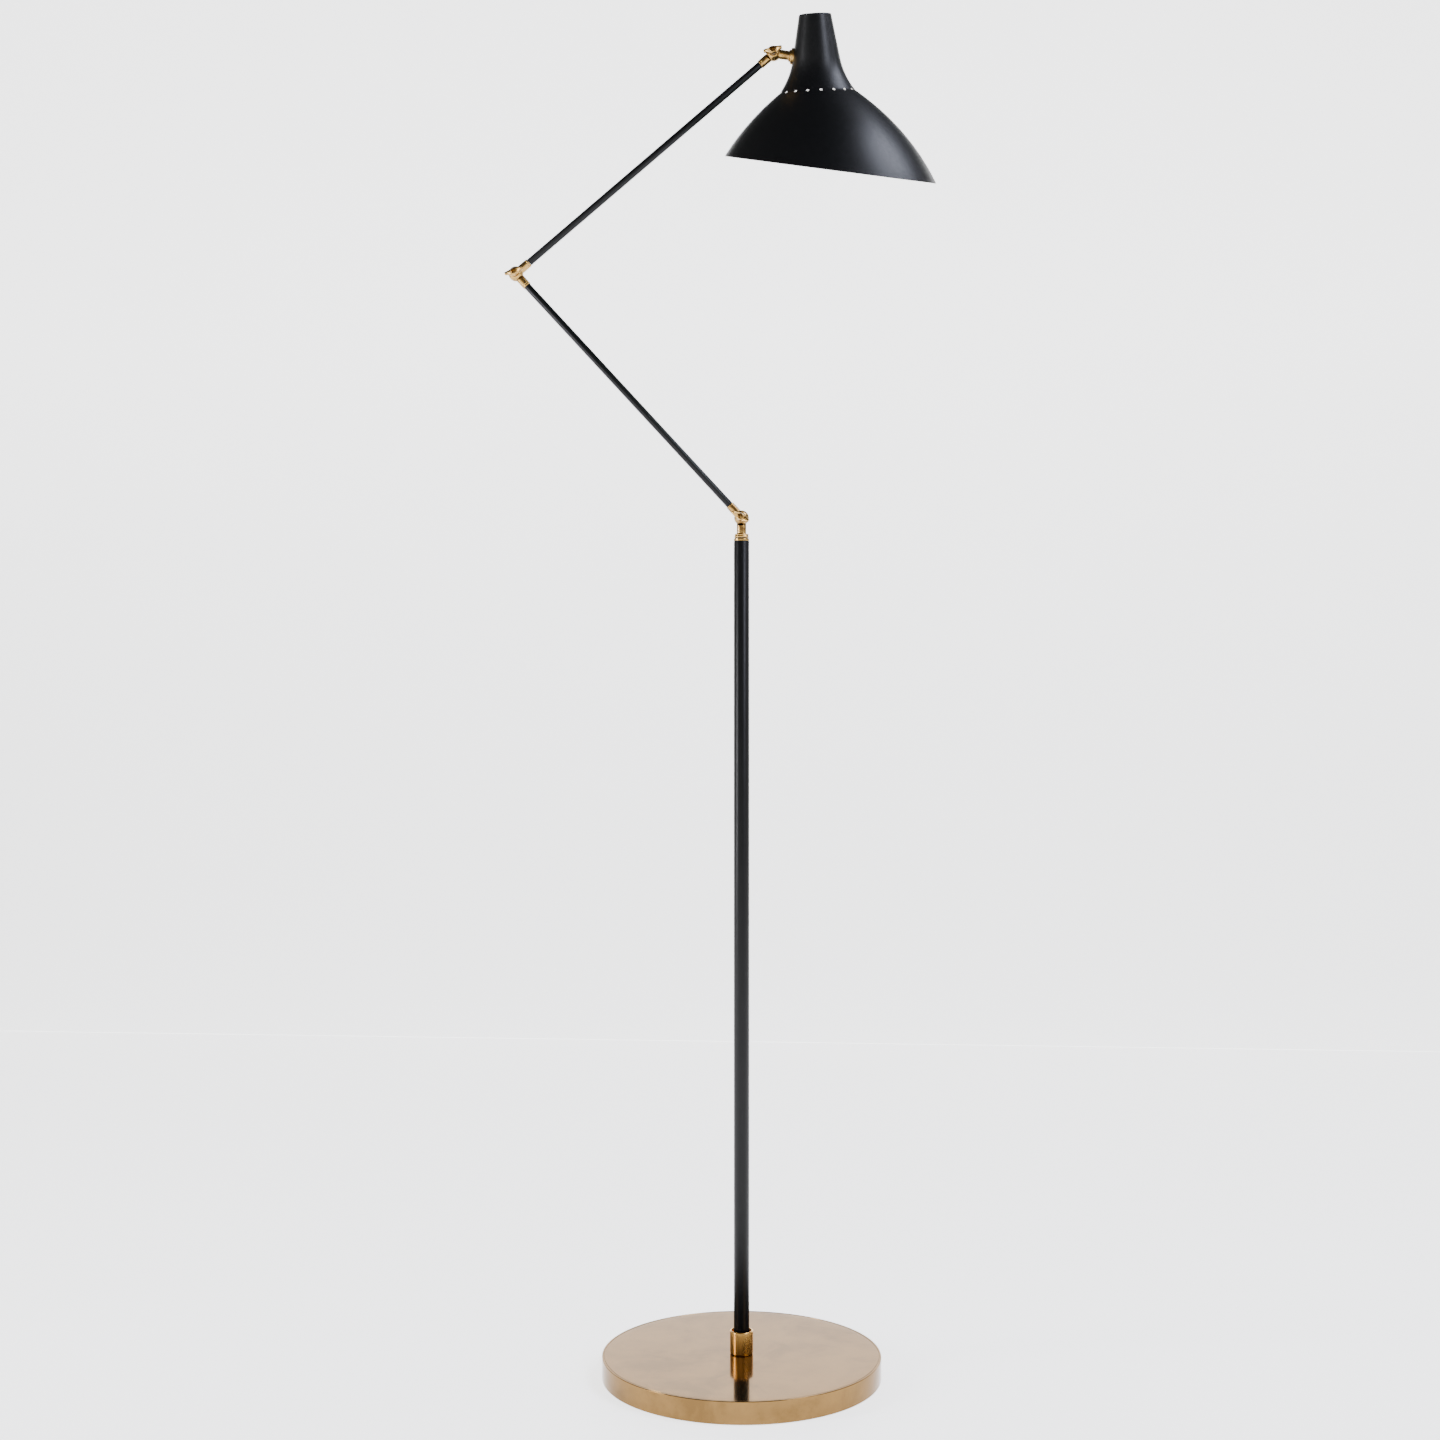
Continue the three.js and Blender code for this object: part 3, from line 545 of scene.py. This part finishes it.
def wing_nut(name, origin, slope, body, replaced):
    """Cast wing nut: round hub with a countersunk mouth, and two wings. slope is in degrees."""
    turn = Matrix.Translation(origin) @ Matrix.Rotation(-math.radians(slope), 4, "Y")
    mesh = bmesh.new()
    hub = rounded([(0, 0), (4.3, 0), (4.5, 1.5), (4.2, 5.2), (3.4, 7.6), (0, 7.6)], 0.9)
    add_lathe(mesh, [(radius, -SEAT - height) for radius, height in hub], turn @ along_y, 48)
    for side in (-1, 1):
        wing(mesh, side, turn)
    made = finish_mesh(name, mesh, BRASS)
    melt(made, 0.2, 4)
    mouth = [(0, -SEAT - 12), (2.6, -SEAT - 12), (2.6, -SEAT - 7.0), (2.15, -SEAT - 6.3), (2.2, 0), (0, 0)]
    carve(made, turned("mouth", mouth, turn @ along_y, BRASS, 32))
    show(made, body, "antique_brass", replaced, angle=50)


wing_nut("lower_nut", hinge_low, -28, "lower_wing_nut", "lower_wing_nut")
wing_nut("elbow_nut", hinge_elbow, 18, "elbow_wing_nut", "elbow_wing_nut")
wing_nut("head_nut", hinge_head, 12, "head_wing_nut", "head_wing_nut")


# ---------------------------------------------------------------- arms and pole
def pipe(outer, inner, low, high):
    """Section of a straight pipe with softened ends."""
    edge = 0.3
    return [(inner, low + edge), (inner + edge, low), (outer - edge, low),
            (outer - edge / 3, low + edge / 3), (outer, low + edge), (outer, high - edge),
            (outer - edge / 3, high - edge / 3), (outer - edge, high), (inner + edge, high),
            (inner, high - edge)]


POLE = 8.5
for name, matrix in (("lower_arm", lower_frame), ("upper_arm", upper_frame)):
    barrel = pipe(3.9, 3.1, FERRULE_END + 0.1, arm_length - FERRULE_END - 0.1)
    show(turned(f"{name}_pipe", barrel, matrix @ along_x, BLACK), name, "satin_black_paint", f"{name}_tube")
show(turned("pole_pipe", pipe(POLE, POLE - 1, *heights("pole")), upright, BLACK, 96),
     "root", "satin_black_paint", "pole")
cap_low, cap_high = heights("pole_cap")
cap = rounded([(5.4, cap_low), (POLE, cap_low), (POLE, cap_high), (5.4, cap_high)], 0.5)
show(turned("pole_ring", cap, upright, BRASS, 96), "root", "antique_brass", "pole_cap")

# ---------------------------------------------------------------- collar
COLLAR = 12.7
collar_low, collar_high = heights("pole_collar")
collar = rounded([
    (8.8, collar_low), (COLLAR - 0.5, collar_low), (COLLAR - 0.5, collar_low + 0.5),
    (COLLAR, collar_low + 0.9), (COLLAR, collar_high - 0.9), (COLLAR - 0.7, collar_high),
    (11.2, collar_high), (10.9, collar_high - 0.6), (10.9, collar_high - 5), (8.8, collar_high - 5)], 0.25)
collar_piece = turned("collar", collar, upright, COLLAR_BRASS, 128)
screw_turn, screw_end = level_behind("collar_set_screw")
drill(collar_piece, 2.15, 8, 13.5, screw_turn)
show(collar_piece, "root", "antique_brass", "pole_collar")
shank = rounded([(0.2, 8.9), (2, 8.9), (2, screw_end), (0.2, screw_end)], 0.3)
screw = turned("collar_screw", [(0, 8.9), *shank, (0, screw_end)], screw_turn, STEEL, 32)
drill(screw, 1.05, screw_end - 1.6, screw_end + 1, screw_turn, sides=6)
show(screw, "root", "plated_steel", "collar_set_screw")

# ---------------------------------------------------------------- base
BASE = 152.4
SKIN = 1.2
DISH = 0.05               # the top sits this far below its rolled edge
base_low, base_high = heights("base_cover")
dish = base_high - DISH
cover = rounded([(BASE - SKIN, base_low + 0.5), (BASE - 0.9, base_low), (BASE - 0.1, base_low),
                 (BASE, base_low + 0.5)], 0.3)
cover += rounded([(BASE, base_high - 3), (BASE, base_high), (BASE - 1.9, base_high)], 1.3, 8)
# the fine seam inside the rolled edge
cover += [(BASE - 2.0, base_high - 0.1), (BASE - 2.15, base_high - 0.5), (BASE - 2.4, base_high - 0.55),
          (BASE - 2.65, base_high - 0.5), (BASE - 2.8, base_high - 0.08), (BASE - 3.4, dish)]
cover += [(radius, dish) for radius in (140, 110, 80, 50, 30, 20, 5.4)]
cover += [(5.4, base_high - SKIN)]
cover += rounded([(20, base_high - SKIN), (BASE - SKIN, base_high - SKIN), (BASE - SKIN, base_low + 3)], 2, 6)
base = turned("base_shell", cover, upright, BASE_BRASS, 256)
inlet_turn, bushing_end = level_behind("cord_inlet_bushing")
drill(base, 4.8, 140, 160, inlet_turn, sides=48)
show(base, "root", "antique_brass", "base_cover", angle=40)
bushing = rounded([(3.4, bushing_end - 5.6), (4.5, bushing_end - 5.6), (4.5, BASE + 0.1), (6.1, BASE + 0.1),
                   (6.1, BASE + 0.7), (5.2, bushing_end), (3.4, bushing_end)], 0.35)
show(turned("inlet_ring", bushing, inlet_turn, NYLON, 48), "root", "black_nylon", "cord_inlet_bushing")

# ---------------------------------------------------------------- shade's section
WALL = 1.0
WALL_REACH = 21.9         # from the head hinge along the stem to the wall
WALL_ANGLE = math.radians(10.8)
WALL_DEPTH = 42.2         # of that spot, below the shade's top
ROLL = math.radians(15.4)
TOP = 16.2                # flat top, inside its rounded corner
TOP_CORNER = 1.5
NECK_TOP = Vector((TOP + TOP_CORNER, TOP_CORNER))      # points of the section: radius, depth
NECK_FOOT = Vector((26.3, 48))
FLARE_PULL = Vector((29.9, 65.4))
CREASE = Vector((41.4, 80.5))
BELL_PULL = Vector((106, 128))
BELL_END = Vector((132.7, 195))
FLARE_PACE = 37.9         # millimetres of curve for each unit of t, about the crease
BELL_PACE = 160.0
RIM_DEPTH = 160.9
RIM_SLANT = math.radians(9.8)
HOLES = 18
HOLE = 1.55
PER_HOLE = 8              # columns of the grid for each hole
PATCH = 2                 # half the width of a hole's square patch, in grid steps
STEP = 1.55               # of the rows about the crease
NECK_ROWS = 14            # of the grid in the neck, and again in the flare
BELL_ROWS = 42

neck_radius = NECK_FOOT.x - (NECK_FOOT.y - WALL_DEPTH) * math.tan(WALL_ANGLE)
up = Vector((-math.sin(WALL_ANGLE), math.cos(WALL_ANGLE)))
out = Vector((up.y, -up.x))
shade_top = Vector((WALL_REACH + out.x * neck_radius + up.x * WALL_DEPTH, 0,
                    out.y * neck_radius + up.y * WALL_DEPTH)) * mm
roll_frame = head_frame @ Matrix.Rotation(ROLL, 4, "X")
shade_frame = roll_frame @ Matrix.Translation(shade_top) @ Matrix.Rotation(-WALL_ANGLE, 4, "Y")
hanging = shade_frame @ Matrix.Scale(-1, 4, (0, 0, 1))      # depth runs down from the shade's top


def bend(start, pull, end, t):
    return start * (1 - t) ** 2 + pull * 2 * t * (1 - t) + end * t * t


def flare_at(t):
    return bend(NECK_FOOT, FLARE_PULL, CREASE, t)


def bell_at(t):
    return bend(CREASE, BELL_PULL, BELL_END, t)


def rim_share(angle):
    """How far along the bell's curve the slanted rim cuts it, at an angle round the shade."""
    low, high = 0.0, 1.0
    for _ in range(30):
        t = (low + high) / 2
        spot = bell_at(t)
        reach = spot.x * math.cos(angle) * math.tan(RIM_SLANT)
        low, high = (t, high) if spot.y < RIM_DEPTH + reach else (low, t)
    return low


corner_rows = [Vector((TOP + TOP_CORNER * math.sin(a), TOP_CORNER - TOP_CORNER * math.cos(a)))
               for a in steps(0, math.pi / 2, 6)]
neck_rows = [NECK_TOP.lerp(NECK_FOOT, t) for t in steps(0, 1, NECK_ROWS)[1:]]
flare_rows = [flare_at(t) for t in steps(0, 1 - PATCH * STEP / FLARE_PACE, NECK_ROWS)[1:]]
flare_rows += [flare_at(1 - STEP / FLARE_PACE)]
side_rows = corner_rows + neck_rows + flare_rows
fixed_rows = [Vector((radius, 0)) for radius in (4, 8, 12, 15)] + side_rows + [CREASE]
crease_row = len(fixed_rows) - 1
columns = HOLES * PER_HOLE
angles = [2 * math.pi * (j - PER_HOLE / 2) / columns for j in range(columns)]


def section(angle):
    """The wall's outer points at an angle round the shade, from its top to its rim."""
    bell_rows = [bell_at(STEP / BELL_PACE)]
    bell_rows += [bell_at(t) for t in steps(PATCH * STEP / BELL_PACE, rim_share(angle), BELL_ROWS)]
    return fixed_rows + bell_rows


def left_of(along):
    return Vector((-along.y, along.x))


def inward(line, i):
    """The wall's inner point behind outer point i."""
    before, after = line[max(i - 1, 0)], line[min(i + 1, len(line) - 1)]
    return line[i] + left_of((after - before).normalized()) * WALL


def in_space(spot, angle):
    return shade_frame @ Vector((spot.x * math.cos(angle) * mm, spot.x * math.sin(angle) * mm, -spot.y * mm))


# ---------------------------------------------------------------- shade's mesh
lines = [section(angle) for angle in angles]
row_count = len(lines[0])
shell = bmesh.new()


def add_face(corners, finish=0):
    """finish is 0 for the black outside and 1 for the white inside."""
    shell.faces.new(corners).material_index = finish


def wall_skin(inside):
    """One skin's grid of vertices, column by column, and the vertex in the middle of its top."""
    grid = []
    for line, angle in zip(lines, angles):
        spots = [inward(line, i) for i in range(row_count)] if inside else line
        grid.append([shell.verts.new(in_space(spot, angle)) for spot in spots])
    return grid, shell.verts.new(in_space(Vector((0, WALL * inside)), 0))


def fill_skin(grid, middle, finish):
    """Faces of one skin, with a square patch left open for each hole."""
    for j in range(columns):
        k = (j + 1) % columns
        add_face((middle, grid[j][0], grid[k][0]), finish)
        by_hole = -PATCH <= j % PER_HOLE - PER_HOLE // 2 < PATCH
        for i in range(row_count - 1):
            if not (by_hole and -PATCH <= i - crease_row < PATCH):
                add_face((grid[j][i], grid[j][i + 1], grid[k][i + 1], grid[k][i]), finish)


def add_lip(outer_grid, inner_grid):
    """The rim's rounded edge, by shares of the wall's thickness and how far each point stands out."""
    edge = ((0.2, 0.2), (0.5, 0.25), (0.8, 0.2))
    lips = []
    for j, angle in enumerate(angles):
        last, before = lines[j][-1], lines[j][-2]
        along = (last - before).normalized()
        inside = inward(lines[j], row_count - 1)
        lip = [last.lerp(inside, share) + along * reach for share, reach in edge]
        lips.append([outer_grid[j][-1], *[shell.verts.new(in_space(spot, angle)) for spot in lip],
                     inner_grid[j][-1]])
    for j in range(columns):
        k = (j + 1) % columns
        for i in range(len(lips[j]) - 1):
            add_face((lips[j][i], lips[k][i], lips[k][i + 1], lips[j][i + 1]))


def square_step(turn):
    """Grid steps from a hole's centre to the edge of its square patch: round the shade, and down."""
    across, down = math.sin(turn), math.cos(turn)
    reach = PATCH / max(abs(across), abs(down))
    return round(across * reach), round(down * reach)


def add_holes(grids):
    """The ring of holes along the crease, each joined to its own patch of the grid."""
    round_patch = 8 * PATCH                               # vertices on a square patch's edge
    turns = [2 * math.pi * n / round_patch for n in range(round_patch)]
    crease_way = (flare_at(1) - flare_at(0.96) + bell_at(0.01) - bell_at(0)).normalized()
    for hole in range(HOLES):
        centre = hole * PER_HOLE + PER_HOLE // 2
        edges = []
        for skin, grid in enumerate(grids):
            circle = []
            for turn in turns:
                round_way, down_way = HOLE * math.sin(turn), HOLE * math.cos(turn)
                spot = flare_at(1 + down_way / FLARE_PACE) if down_way < 0 else bell_at(down_way / BELL_PACE)
                spot = spot + left_of(crease_way) * WALL * skin
                circle.append(shell.verts.new(in_space(spot, angles[centre] + round_way / CREASE.x)))
            patch = [grid[(centre + dj) % columns][crease_row + di] for dj, di in map(square_step, turns)]
            edges.append(circle)
            for n in range(len(turns)):
                m = (n + 1) % len(turns)
                add_face((patch[n], patch[m], circle[m], circle[n]), skin)
        for n in range(len(turns)):
            m = (n + 1) % len(turns)
            add_face((edges[0][n], edges[0][m], edges[1][m], edges[1][n]), 1)


outer_skin = wall_skin(False)
inner_skin = wall_skin(True)
fill_skin(*outer_skin, 0)
fill_skin(*inner_skin, 1)
add_lip(outer_skin[0], inner_skin[0])
add_holes((outer_skin[0], inner_skin[0]))
show(finish_mesh("shade_bell", shell, BLACK, ENAMEL), "shade", "satin_black_paint", "shade_shell", angle=42)

# ---------------------------------------------------------------- flange on the shade's neck
flange = rounded([(4.2, RING_END + 0.2), (8.3, RING_END + 0.2), (8.8, RING_END + 0.8), (8.8, WALL_REACH + 6),
                  (4.2, WALL_REACH + 6)], 0.35)
plate = turned("neck_flange", flange, roll_frame @ along_x, BRASS, 96)
plug = [(0, -0.1), *[(row.x + 0.1, row.y) for row in side_rows], (0, CREASE.y)]
carve(plate, turned("plug", plug, hanging, BRASS, 144))
show(plate, "shade", "antique_brass", "shade_flange")

# ---------------------------------------------------------------- lampholder and bulb
HOLDER_FACE = 13
HOLDER_FOOT = 59
BULB = 30.0
BULB_CENTRE = 114.0
BULB_FOOT = HOLDER_FOOT - 0.7
GLASS = 1
holder = rounded([
    (2.4, HOLDER_FACE), (14.2, HOLDER_FACE), (16.2, HOLDER_FACE + 2), (16.2, 50), (15.4, 51), (15.4, 53),
    (16.2, 54), (16.2, HOLDER_FOOT), (14.0, HOLDER_FOOT), (14.0, 25), (2.4, 25)], 0.4)
show(turned("holder", holder, hanging, PHENOLIC, 96), "shade", "phenolic", "lampholder_body")


def dome(radius, start):
    """The bulb's section in depth order, from its throat to just before its tip."""
    return [(radius * math.cos(a), BULB_CENTRE + radius * math.sin(a))
            for a in steps(start, math.pi / 2, 28)[:-1]]


throat_angle = math.radians(-35)
tip = BULB_CENTRE + BULB
globe = [(0, tip - GLASS), *dome(BULB - GLASS, throat_angle)[::-1], *dome(BULB, throat_angle), (0, tip)]
show(turned("bulb_glass", globe, hanging, FROSTED, 96), "shade", "bulb_frosted", "bulb_globe")
throat = BULB * math.cos(throat_angle)
housing_end = BULB_CENTRE + BULB * math.sin(throat_angle) - 0.2
housing = rounded([(0.5, BULB_FOOT), (12.9, BULB_FOOT), (13.9, 64), (17, 76), (throat, housing_end),
                   (0.5, housing_end)], 1.2)
show(turned("bulb_body", [(0, BULB_FOOT), *housing, (0, housing_end)], hanging, BULB_WHITE, 96),
     "shade", "bulb_white", "bulb_housing")

# ---------------------------------------------------------------- floor and backdrop
paper = studio_paper("paper")
cove = [(2.2, 0), *[(2.2 + 2 * math.sin(a), 2 - 2 * math.cos(a)) for a in steps(0, math.pi / 2, 24)[1:]],
        (4.2, 3), (4.2, 3.6)]
mesh = bmesh.new()
rows = [[mesh.verts.new((x, y, z)) for y, z in cove] for x in (-3.6, -1.5, 1.5, 3.0)]
for first, second in zip(rows, rows[1:]):
    for i in range(len(cove) - 1):
        mesh.faces.new((first[i], second[i], second[i + 1], first[i + 1]))
backdrop = finish_mesh("backdrop", mesh, paper)
smooth(backdrop, 60)
mesh = bmesh.new()
just_below = Matrix.Translation((0, 0, -0.2 * mm))
bmesh.ops.create_circle(mesh, cap_ends=True, segments=96, radius=14, matrix=just_below)
floor = finish_mesh("floor", mesh, paper)


# ---------------------------------------------------------------- lights and world
def soft_light(name, place, target, size, power, colour):
    data = bpy.data.lights.new(name, "AREA")
    data.shape = "RECTANGLE"
    data.size, data.size_y = size
    data.energy = power
    data.color = colour
    lamp = bpy.data.objects.new(name, data)
    lamp.location = place
    lamp.rotation_euler = (Vector(target) - Vector(place)).to_track_quat("-Z", "Y").to_euler()
    scene.collection.objects.link(lamp)


COOL = (0.80, 0.84, 1.0)
soft_light("neck_box", (2.0, -1.5, 2.05), (0.09, 0, 1.44), (0.9, 1.0), 46, COOL)
soft_light("bell_box", (1.75, 0.0, 3.0), (0.15, 0, 1.32), (1.4, 1.0), 70, COOL)
soft_light("left_strip", (-2.4, -0.95, 1.1), (0, 0, 0.8), (0.5, 1.3), 62, (0.95, 0.96, 1.0))
soft_light("front_box", (-0.3, -3.8, 0.9), (0, 0, 0.9), (2.6, 1.5), 10, (1.0, 0.99, 0.97))

SKY = 0.10                # dim, so that the black stays black
BAND = 0.75               # added in a soft band above the horizon, except towards the front
HORIZON = 2.4             # what the camera sees past the floor, which lights nothing
world = bpy.data.worlds.new("studio")
world.use_nodes = True
nodes = world.node_tree.nodes
links = world.node_tree.links


def soft_step(value, low, high, to_low, to_high):
    made = nodes.new("ShaderNodeMapRange")
    made.interpolation_type = "SMOOTHSTEP"
    links.new(value, made.inputs["Value"])
    for name, number in (("From Min", low), ("From Max", high), ("To Min", to_low), ("To Max", to_high)):
        made.inputs[name].default_value = number
    return made.outputs["Result"]


ways = nodes.new("ShaderNodeSeparateXYZ")
links.new(nodes.new("ShaderNodeTexCoord").outputs["Generated"], ways.inputs[0])
strength = nodes.new("ShaderNodeMath")
strength.operation = "MULTIPLY_ADD"
links.new(soft_step(ways.outputs["Z"], 0.18, 0.50, BAND, 0.0), strength.inputs[0])
links.new(soft_step(ways.outputs["Y"], -0.98, -0.70, 0.15, 1.0), strength.inputs[1])
strength.inputs[2].default_value = SKY
light = nodes["Background"]
light.inputs["Color"].default_value = (1, 1, 1, 1)
links.new(strength.outputs[0], light.inputs["Strength"])
horizon = nodes.new("ShaderNodeBackground")
horizon.inputs["Color"].default_value = (1, 1, 1, 1)
horizon.inputs["Strength"].default_value = HORIZON
choose = nodes.new("ShaderNodeMixShader")
links.new(nodes.new("ShaderNodeLightPath").outputs["Is Camera Ray"], choose.inputs[0])
links.new(light.outputs[0], choose.inputs[1])
links.new(horizon.outputs[0], choose.inputs[2])
links.new(choose.outputs[0], nodes["World Output"].inputs["Surface"])
scene.world = world
